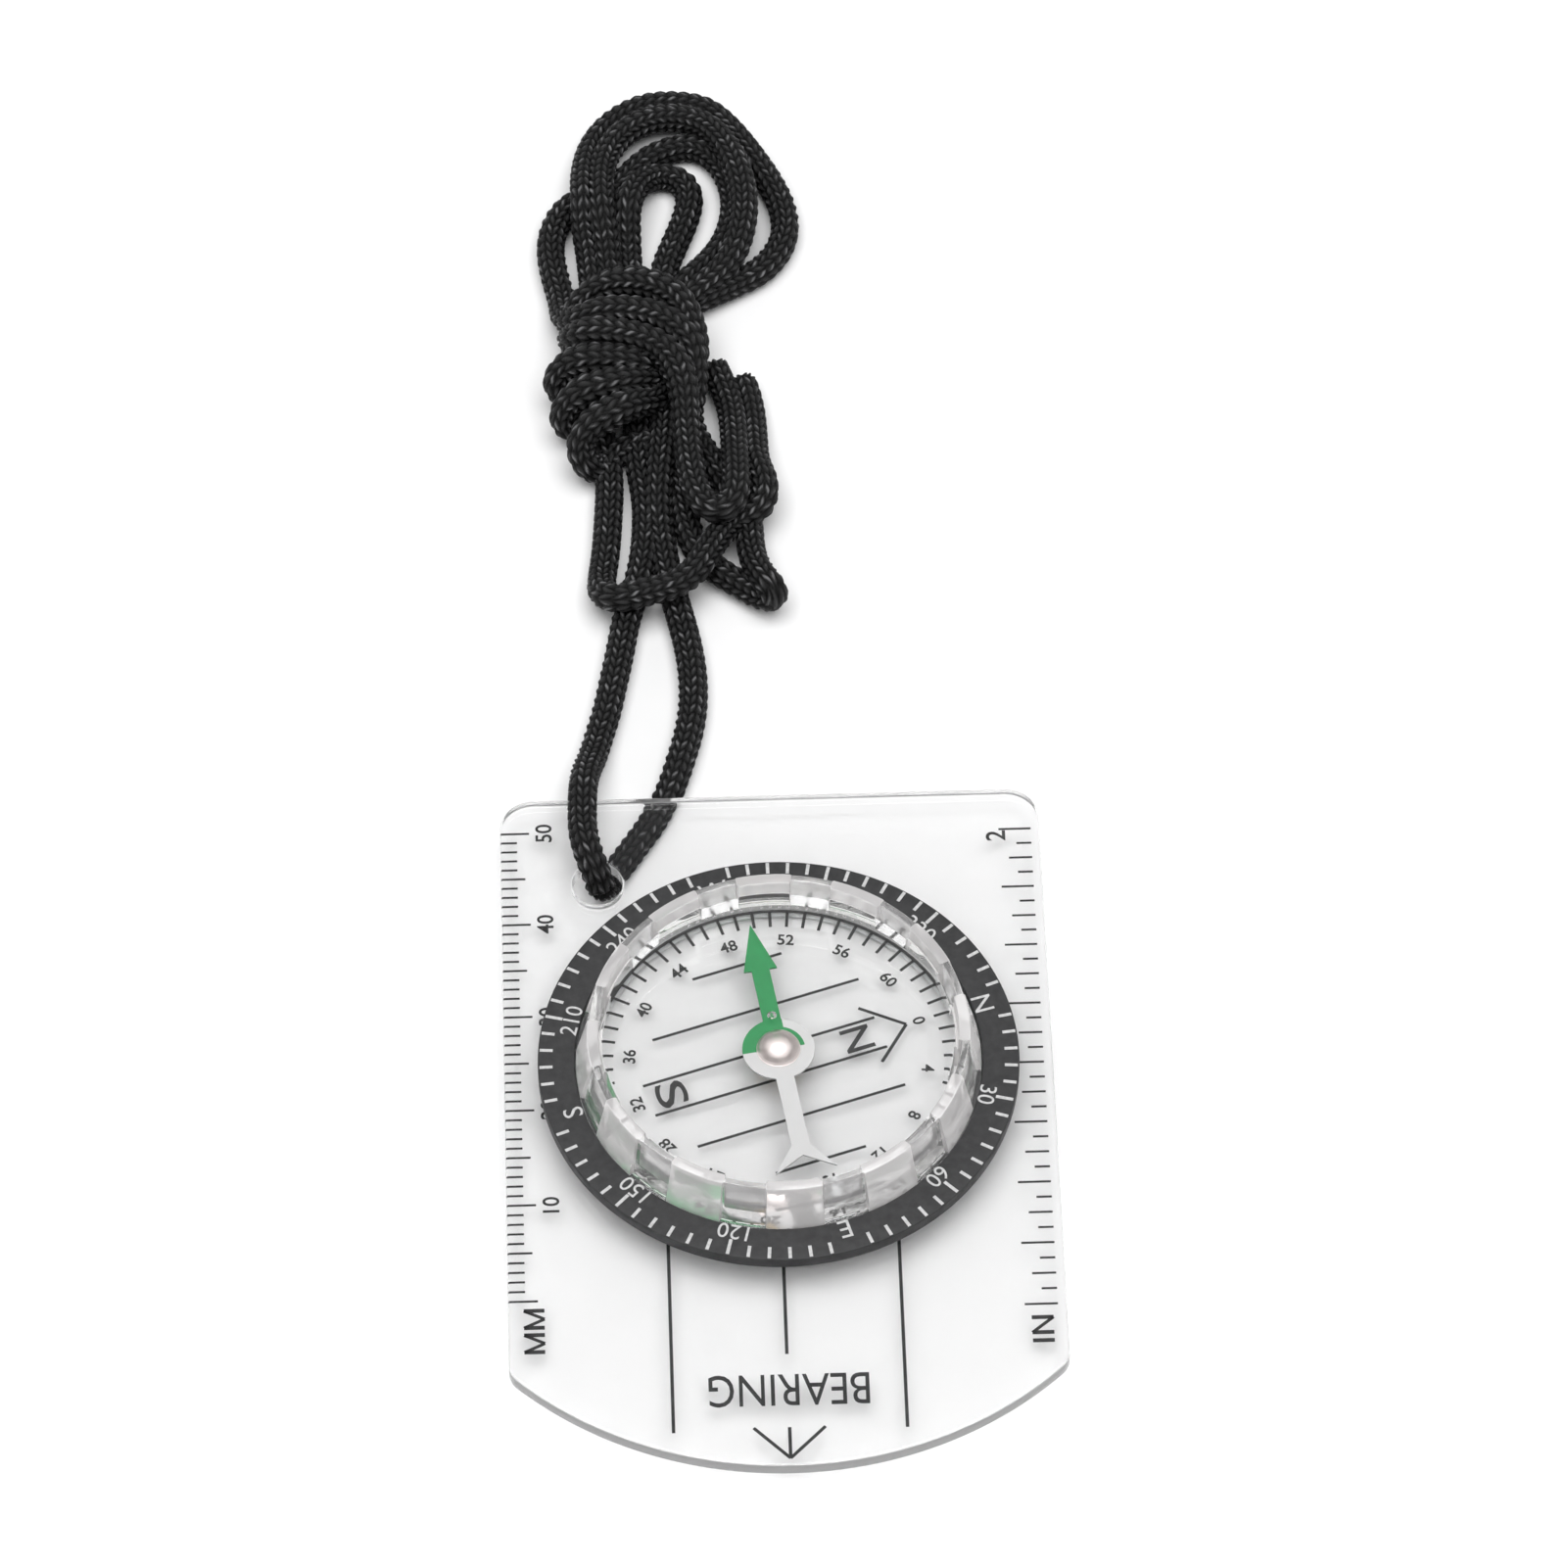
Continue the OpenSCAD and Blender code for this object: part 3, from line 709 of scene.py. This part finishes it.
def add_box(sheet, corners, z):
    """A thin printed block over four corners, given counter-clockwise."""
    start = len(sheet["verts"])
    sheet["verts"] += [(x, y, z) for x, y in corners] + [(x, y, z + INK) for x, y in corners]
    sheet["faces"] += [tuple(start + k for k in face) for face in
                       ((3, 2, 1, 0), (4, 5, 6, 7), (0, 1, 5, 4), (1, 2, 6, 5), (2, 3, 7, 6), (3, 0, 4, 7))]


def add_line(sheet, x0, y0, x1, y1, width, z):
    """A printed line between two points."""
    size = math.hypot(x1 - x0, y1 - y0)
    nx, ny = -(y1 - y0) / size * width / 2, (x1 - x0) / size * width / 2
    add_box(sheet, [(x0 - nx, y0 - ny), (x1 - nx, y1 - ny), (x1 + nx, y1 + ny), (x0 + nx, y0 + ny)], z)


GLYPHS = {}


def glyph_mesh(text, weight):
    """The outline of a piece of lettering as points and faces, one unit high, middle at 0, 0."""
    if (text, weight) not in GLYPHS:
        curve = bpy.data.curves.new("glyphs", "FONT")
        curve.body = text
        curve.offset = weight
        curve.extrude = 0.01
        curve.resolution_u = 4
        piece = bpy.data.objects.new("glyphs", curve)
        bpy.context.scene.collection.objects.link(piece)
        bpy.context.view_layer.update()
        mesh = piece.evaluated_get(bpy.context.evaluated_depsgraph_get()).to_mesh()
        points = np.array([tuple(v.co) for v in mesh.vertices])
        faces = [tuple(f.vertices) for f in mesh.polygons]
        low, high = points.min(axis=0), points.max(axis=0)
        points = (points - (low + high) / 2) / (high[1] - low[1])
        points[:, 2] = np.where(points[:, 2] > 0, INK, 0)
        GLYPHS[text, weight] = points, faces
        bpy.data.objects.remove(piece)
    return GLYPHS[text, weight]


def add_text(sheet, text, x, y, height, up, z, width=None, weight=0.0):
    """Printed lettering, its middle at x, y; up is where its top points, in degrees from +X."""
    points, faces = glyph_mesh(text, weight)
    wide = height if width is None else width / (points[:, 0].max() - points[:, 0].min())
    ux, uy = math.cos(math.radians(up)), math.sin(math.radians(up))
    start = len(sheet["verts"])
    for px, py, pz in points:
        a, b = px * wide, py * height
        sheet["verts"].append((x + a * uy + b * ux, y - a * ux + b * uy, z + pz))
    sheet["faces"] += [tuple(start + k for k in face) for face in faces]


STROKES = {"M": ((0, 0, 0, 1), (0, 1, 0.5, 0), (0.5, 0, 1, 1), (1, 1, 1, 0)),
           "N": ((0, 0, 0, 1), (0, 1, 1, 0), (1, 0, 1, 1)),
           "I": ((0.5, 0, 0.5, 1),)}


def add_capital(sheet, letter, x, y, height, width, z):
    """A plain capital in straight strokes whose top points to the plate's left edge."""
    upright, slanted = 0.4, 0.3
    for a0, b0, a1, b1 in STROKES[letter]:
        stroke = upright if a0 == a1 else slanted
        add_line(sheet, x - (b0 - 0.5) * height, y + (a0 - 0.5) * width,
                 x - (b1 - 0.5) * height, y + (a1 - 0.5) * width, stroke, z)


def finish_print(name, sheet, material, body):
    """Turns a sheet of printed shapes into one piece on its body."""
    piece = make_object(name, sheet["verts"], sheet["faces"], material, smooth=False)
    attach(piece, body)


# ---------------------------------------------------------------- baseplate

PLATE_LOW, PLATE_HIGH = 1.7, 3.2
PLATE_HALF = 24.25
BORE_R = 17.4
HOLE_X, HOLE_Y, HOLE_R = -15.6, 26.2, 2.25


def plate_outline():
    """Round-cornered plate with a bowed front edge, counter-clockwise."""
    side_x, corner_y = PLATE_HALF - 2, -24.69
    meet = math.degrees(math.atan2(corner_y + 1, side_x))
    front = arc(0, -1, 34.5, 180 - meet, 360 + meet, 64)
    front_right = arc(side_x, corner_y, 2, meet, 0, 10)
    back_right = arc(PLATE_HALF - 3, 32.5, 3, 0, 90, 16)
    back_left = arc(3 - PLATE_HALF, 32.5, 3, 90, 180, 16)
    front_left = arc(-side_x, corner_y, 2, 180, 180 - meet, 10)
    return front[:-1] + front_right + back_right + back_left + front_left[:-1]


def make_plate():
    """The clear plate with the capsule's bore and the lanyard hole."""
    bore = arc(AXIS_X, AXIS_Y, BORE_R, 0, -360, 160)[:-1]
    hole = arc(HOLE_X, HOLE_Y, HOLE_R, 0, -360, 48)[:-1]
    plate = slab("clear_baseplate", [plate_outline(), bore, hole], PLATE_LOW, PLATE_HIGH, 0.22, acrylic)
    coat_faces(plate, cut_edge, lambda x, y, z: PLATE_LOW + 0.1 < z < PLATE_HIGH - 0.1)
    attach(plate, "plate")
    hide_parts("baseplate")


SHIFT = -0.43                       # how far the ink lies nearer than the photo shows it, by refraction
UNDER = PLATE_LOW - INK - 0.003     # the ink is on the underside
TICK_INK = 0.22                     # width of the scales' lines


def millimetre_scale(sheet):
    """Fifty millimetres along the left edge, numbered in tens."""
    start_x, zero = -24.05, -17.1 + SHIFT
    for mm in range(51):
        length = 2.4 if mm % 10 == 0 else 2.0 if mm % 5 == 0 else 1.3
        add_line(sheet, start_x, zero + mm, start_x + length, zero + mm, TICK_INK, UNDER)
    for tens in range(10, 60, 10):
        add_text(sheet, str(tens), -20.35, zero + tens, 1.5, 180, UNDER, weight=0.012)
    for middle in (-4.35, -1.85):
        add_capital(sheet, "M", -22.0, zero + middle, 1.8, 1.75, UNDER)


def inch_scale(sheet):
    """Two inches in sixteenths along the right edge."""
    start_x, zero, inch = 23.5, -18.75 + SHIFT, 25.4
    for k in range(33):
        y = zero + inch * k / 16
        length = 2.9 if k % 4 == 0 else 2.1 if k % 2 == 0 else 1.35
        add_line(sheet, start_x - length, y, start_x, y, TICK_INK, UNDER)
    add_text(sheet, "2", 20.3, zero + 2 * inch - 0.7, 1.75, 180, UNDER, weight=0.012)
    add_capital(sheet, "I", 22.1, zero - 3.75, 1.9, 1.0, UNDER)
    add_capital(sheet, "N", 22.1, zero - 2.15, 1.9, 1.55, UNDER)


def bearing_marks(sheet):
    """Three lines from under the degree ring, the word before them and the travel arrow."""
    hidden_r = 20.4
    for x, front_y in ((-10.2, -30.95), (9.95, -30.95), (-0.2, -23.2)):
        under_ring = AXIS_Y - math.sqrt(hidden_r ** 2 - x ** 2)
        add_line(sheet, x, front_y + SHIFT, x, under_ring, 0.3, UNDER)
    add_text(sheet, "BEARING", -0.12, -26.86 + SHIFT, 3.25, -90, UNDER, width=13.9)
    tip_x, tip_y, back_y = -0.2, -33.78 + SHIFT, -30.65 + SHIFT
    add_line(sheet, tip_x, back_y, tip_x, tip_y, 0.3, UNDER)
    for wing in (-3.1, 3.1):
        add_line(sheet, tip_x + wing, back_y, tip_x, tip_y, 0.3, UNDER - 0.001)


def make_plate_print():
    """All the black print on the underside of the plate."""
    sheet = empty_print()
    millimetre_scale(sheet)
    inch_scale(sheet)
    bearing_marks(sheet)
    finish_print("baseplate_print", sheet, ink_black, "plate")


# ---------------------------------------------------------------- dial ring

RING_OUT, RING_IN, RING_TOP = 21.25, 18.0, 4.7


def make_dial_ring():
    """The black degree ring, stepped down inside to a lip under the capsule's flange."""
    outline = rounded([(17.45, 3.45), (RING_OUT, 3.45), (RING_OUT, RING_TOP), (RING_IN, RING_TOP),
                       (RING_IN, 3.95), (17.45, 3.95)], 0.14)
    ring = revolve("graduated_dial", outline, all_round(180), dial_black)
    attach(ring, "dial")
    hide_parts("dial_ring")


def dial_angle(bearing):
    """Degrees from +X of a bearing on the dial, which runs clockwise from its own north."""
    return 90 + DIAL_TURN - bearing


def on_dial(radius, bearing):
    """The x, y of a place on the dial."""
    a = math.radians(dial_angle(bearing))
    return AXIS_X + radius * math.cos(a), AXIS_Y + radius * math.sin(a)


RING_LAG = 2.0                      # the graduated ring is pressed on 2 degrees clockwise of the capsule


def make_dial_print():
    """A mark every 5 degrees, a number every 30 and the four points of the compass."""
    sheet = empty_print()
    z = RING_TOP + 0.002
    for bearing in range(0, 360, 5):
        place = bearing + RING_LAG
        if bearing % 90 == 0:
            add_text(sheet, "NESW"[bearing // 90], *on_dial(18.95, place), 1.75, dial_angle(place), z)
            continue
        labelled = bearing % 30 == 0
        add_line(sheet, *on_dial(19.55 if labelled else 19.95, place), *on_dial(21.1, place), 0.3, z)
        if labelled:
            add_text(sheet, str(bearing), *on_dial(18.75, place), 1.5, dial_angle(place), z)
    finish_print("dial_graduations", sheet, ink_white, "dial")


# ---------------------------------------------------------------- capsule

BLOCKS, BLOCK_WIDE = 12, 16.5       # raised grip blocks round the rim, and their width in degrees
FLANK = 0.35                        # width of a block's sloping side, in degrees
RIM_TOP, LENS_TOP, FLOOR_TOP = 9.0, 7.8, 1.4
GAP = 0.02                          # hair-thin air gap that keeps two clear solids apart
FILL_LOW = FLOOR_TOP + GAP
WALL_FOOT = 4.37                    # where the wall meets the flange over the dial ring
LENS_R = 15.68
GROOVE_R, GROOVE_LOW = 16.1, 4.9    # behind each recess an air groove parts the wall from the lens


def capsule_profile(grip):
    """Section of the clear capsule from above its floor print round to the top of its lens."""
    outside = [(17.88, WALL_FOOT), (16.85, RIM_TOP)] if grip else [(17.47, WALL_FOOT), (16.75, RIM_TOP)]
    inside = [(LENS_R + 0.15, RIM_TOP), (LENS_R + 0.15, LENS_TOP - 0.35), (LENS_R, LENS_TOP - 0.35)]
    if not grip:
        inside = [(GROOVE_R, RIM_TOP), (GROOVE_R, GROOVE_LOW), (LENS_R - 0.2, GROOVE_LOW)]
    skirt = [(16.5, FILL_LOW), (16.5, 0.0), (17.3, 0.0), (17.3, 0.6), (16.95, 0.6), (16.95, 1.5),
             (17.3, 1.5), (17.3, 3.97), (17.9, 3.97), (17.9, WALL_FOOT)]
    corners = [(16.4, FILL_LOW)] + skirt + outside + inside + [(inside[-1][0], LENS_TOP), (15.2, LENS_TOP)]
    return [(0, FILL_LOW)] + rounded(corners, 0.14, 3, closed=False) + [(0, LENS_TOP)]


def on_grip(x, y):
    """Whether a place round the rim lies on a grip block and not in the recess between two."""
    turn = math.degrees(math.atan2(y - AXIS_Y, x - AXIS_X)) - dial_angle(15)
    step = 360 / BLOCKS
    return abs((turn + step / 2) % step - step / 2) < BLOCK_WIDE / 2 + 0.2


def make_capsule():
    """Housing, lens and damping fluid as one clear solid: no boundary shows where they touch."""
    grip, recess = capsule_profile(True), capsule_profile(False)
    step = 360 / BLOCKS
    angles, profiles = [], {}
    for k in range(BLOCKS):
        middle = dial_angle(15) + k * step
        for part in np.linspace(-BLOCK_WIDE / 2, BLOCK_WIDE / 2, 8):
            angles.append(middle + part)
            profiles[angles[-1]] = grip
        for part in np.linspace(BLOCK_WIDE / 2 + FLANK, step - BLOCK_WIDE / 2 - FLANK, 6):
            angles.append(middle + part)
            profiles[angles[-1]] = recess
    capsule = turned_solid("clear_capsule", lambda a: profiles[a], angles, capsule_clear)

    def on_rim(x, y, z):
        return z > WALL_FOOT + 0.05 and math.hypot(x - AXIS_X, y - AXIS_Y) > LENS_R - 0.25

    coat_faces(capsule, moulded_wall, on_rim)
    coat_faces(capsule, grip_block, lambda x, y, z: on_rim(x, y, z) and on_grip(x, y))
    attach(capsule, "dial")
    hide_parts("capsule_housing", "capsule_lens")


def make_floor_disc():
    """The capsule's clear floor, a hair below the fluid so that the two stay apart."""
    profile = [(0, FLOOR_TOP), (16.5 - GAP, FLOOR_TOP), (16.5 - GAP, 0.15), (0, 0.15)]
    disc = turned_solid("clear_capsule_floor", lambda a: profile, all_round(160), acrylic)
    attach(disc, "dial")
    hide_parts("capsule_floor")


def make_bubble():
    """A small air bubble that has crept up under the lens."""
    x, y, z, r = -0.5, 8.8, 6.3, 0.42
    steps = 10
    profile = [(r * math.sin(math.pi * k / steps), z + r * math.cos(math.pi * k / steps))
               for k in range(steps + 1)]
    profile[0], profile[-1] = (0, z + r), (0, z - r)
    bubble = turned_solid("air_bubble", lambda a: profile, all_round(24), capsule_clear, centre=(x, y),
                          sharp_above=180)
    bubble.data.flip_normals()
    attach(bubble, "dial")


def to_dial(u, v):
    """Dial-floor coordinates, u towards north and v to its right, to x and y."""
    a = math.radians(dial_angle(0))
    return (AXIS_X + u * math.cos(a) + v * math.sin(a), AXIS_Y + u * math.sin(a) - v * math.cos(a))


def make_floor_print():
    """Scale of 64 steps, numbered by fours, with the meridian lines and the orienting arrow."""
    sheet = empty_print()
    z = FILL_LOW + 0.03
    count = 64
    for k in range(count):
        bearing = 360 * k / count
        add_line(sheet, *on_dial(14.6, bearing), *on_dial(16.2, bearing), 0.28, z)
        if k % 4 == 0:
            add_text(sheet, str(k), *on_dial(13.2, bearing), 1.15, dial_angle(bearing), z, weight=0.02)
    ring = [on_dial(16.3, 3 * k) for k in range(120)]
    for here, after in zip(ring, ring[1:] + ring[:1]):
        add_line(sheet, *here, *after, 0.3, z)
    for v, low, high in ((1.65, -12.1, 9.6), (6.0, -9.7, 9.7), (10.95, -4.2, 4.2)):
        for side in (-v, v):
            add_line(sheet, *to_dial(low, side), *to_dial(high, side), 0.28, z)
    for wing in (-3.05, 3.05):
        add_line(sheet, *to_dial(8.6, wing), *to_dial(12.0, 0), 0.3, z - 0.001)
    add_text(sheet, "N", *to_dial(7.4, 0), 2.6, dial_angle(0), z, width=2.5, weight=0.006)
    add_text(sheet, "S", *to_dial(-10.0, 0), 2.75, dial_angle(0), z, width=2.6, weight=0.006)
    finish_print("capsule_floor_print", sheet, ink_black, "dial")


# ---------------------------------------------------------------- needle

CAP_TOP, DOME_LOW, DOME_R = 6.5, 5.3, 1.86
CAP_LIP = [(1.87, 5.12), (1.94, 5.09), (1.95, 5.05), (1.94, 5.01), (0, 5.01)]  # radius, z


def make_cap():
    """Polished domed cap over the jewel, with a thin turned-out lip."""
    profile = [(0, CAP_TOP)]
    steps = 14
    for k in range(1, steps + 1):
        a = math.radians(90 * k / steps)
        profile.append((DOME_R * math.sin(a), DOME_LOW + (CAP_TOP - DOME_LOW) * math.cos(a)))
    profile += CAP_LIP
    cap = turned_solid("polished_hub_cap", lambda a: profile, all_round(96), cap_polish, sharp_above=35)
    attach(cap, "needle")
    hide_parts("hub_cap")


def dress_cad_nodes():
    """The small inner parts keep their CAD shape and take a finished material."""
    coats = {"needle_blade": needle_coat, "needle_hub": brass, "jewel_bearing": jewel_red,
             "pivot_pin": steel, "pivot_seat": brass, "retaining_ring": white_plastic,
             "friction_washer": white_plastic, "floor_seal": seal_rubber, "fill_plug": seal_rubber}
    for node, coat in coats.items():
        piece = bpy.data.objects[node]
        for place in piece.material_slots:
            place.material = coat


make_plate()
make_plate_print()
make_dial_ring()
make_dial_print()
make_capsule()
make_floor_disc()
make_bubble()
make_floor_print()
make_cap()
dress_cad_nodes()

# Light crosses many clear walls on its way to the capsule's floor and back.
cycles = bpy.context.scene.cycles
cycles.max_bounces = 24
cycles.transmission_bounces = 24
cycles.glossy_bounces = 8
cycles.transparent_max_bounces = 24
bpy.context.scene.view_settings.view_transform = "Standard"
